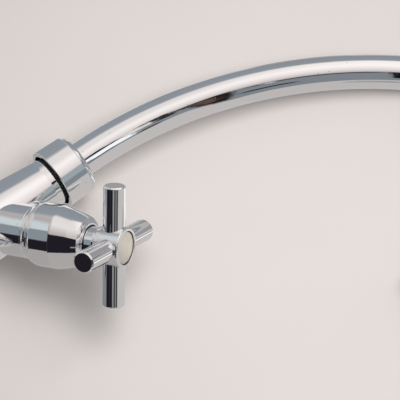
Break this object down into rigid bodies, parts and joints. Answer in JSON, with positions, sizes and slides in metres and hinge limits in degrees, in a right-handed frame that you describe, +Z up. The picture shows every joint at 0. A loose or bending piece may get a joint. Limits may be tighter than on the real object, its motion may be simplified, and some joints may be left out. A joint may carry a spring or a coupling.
{
  "type": "pillar tap with swivel spout",
  "caption": "Chromed cold pillar tap for a kitchen sink, with an angled cross handle and a swivel swan-neck spout.",
  "frame": {"origin": "on the spout's axis at the top of the deck, which is the base gasket's underside", "axes": "+Z up along the spout's swivel axis; +X the way the spout reaches at rest; the valve branch rises 30 degrees above level towards azimuth -30 degrees"},
  "size_m": [0.1964, 0.082, 0.3433],
  "materials": {
    "chrome": "polished chrome plate",
    "brass": "machined brass",
    "rubber": "matt black rubber",
    "steel": "stainless steel",
    "fibre": "red fibre gasket",
    "nylon": "black nylon",
    "insert_plastic": "moulded acetal",
    "disc_plastic": "glossy cream plastic"
  },
  "bodies": {
    "tap_body": {"body": "chrome", "base_ring": "chrome", "seat_ring": "chrome", "shroud": "chrome", "threaded_shank": "brass", "back_nut": "brass", "valve_seat": "brass", "headwork": "brass", "gland_nut": "brass", "base_gasket": "rubber", "fixing_washer_rubber": "rubber", "stem_seal": "rubber", "fixing_washer_steel": "steel", "headwork_gasket": "fibre", "swivel_washer": "nylon"},
    "spout": {"spout_tube": "chrome", "spout_collar": "chrome", "spout_spigot": "brass", "spout_o_rings": "rubber", "spout_clip": "steel", "outlet_ferrule": "brass", "aerator_washer": "rubber", "aerator_insert": "insert_plastic", "aerator_mesh": "steel", "aerator_housing": "chrome"},
    "handle": {"handle_hub": "chrome", "handle_arm_1": "chrome", "handle_arm_2": "chrome", "handle_arm_3": "chrome", "handle_arm_4": "chrome", "handle_stem": "chrome", "handle_screw": "steel", "index_disc": "disc_plastic", "spindle": "brass", "spindle_o_rings": "rubber"},
    "valve": {"valve_jumper": "brass", "tap_washer": "rubber", "washer_nut": "brass"}
  },
  "joints": [
    {"name": "spout_swivel", "type": "hinge", "parent": "tap_body", "child": "spout", "pos_m": [0, 0, 0.073], "axis": [0, 0, 1], "continuous": true},
    {"name": "handle_turn", "type": "hinge", "parent": "tap_body", "child": "handle", "pos_m": [0, 0, 0.034], "axis": [0.75, -0.433, 0.5], "range_deg": [0, 540]},
    {"name": "valve_lift", "type": "slide", "parent": "tap_body", "child": "valve", "axis": [0.75, -0.433, 0.5], "range_m": [0, 0.0045]}
  ],
  "couplings": [
    {"joint": "valve_lift", "follows": "handle_turn", "m_per_rad": 0.000477}
  ]
}
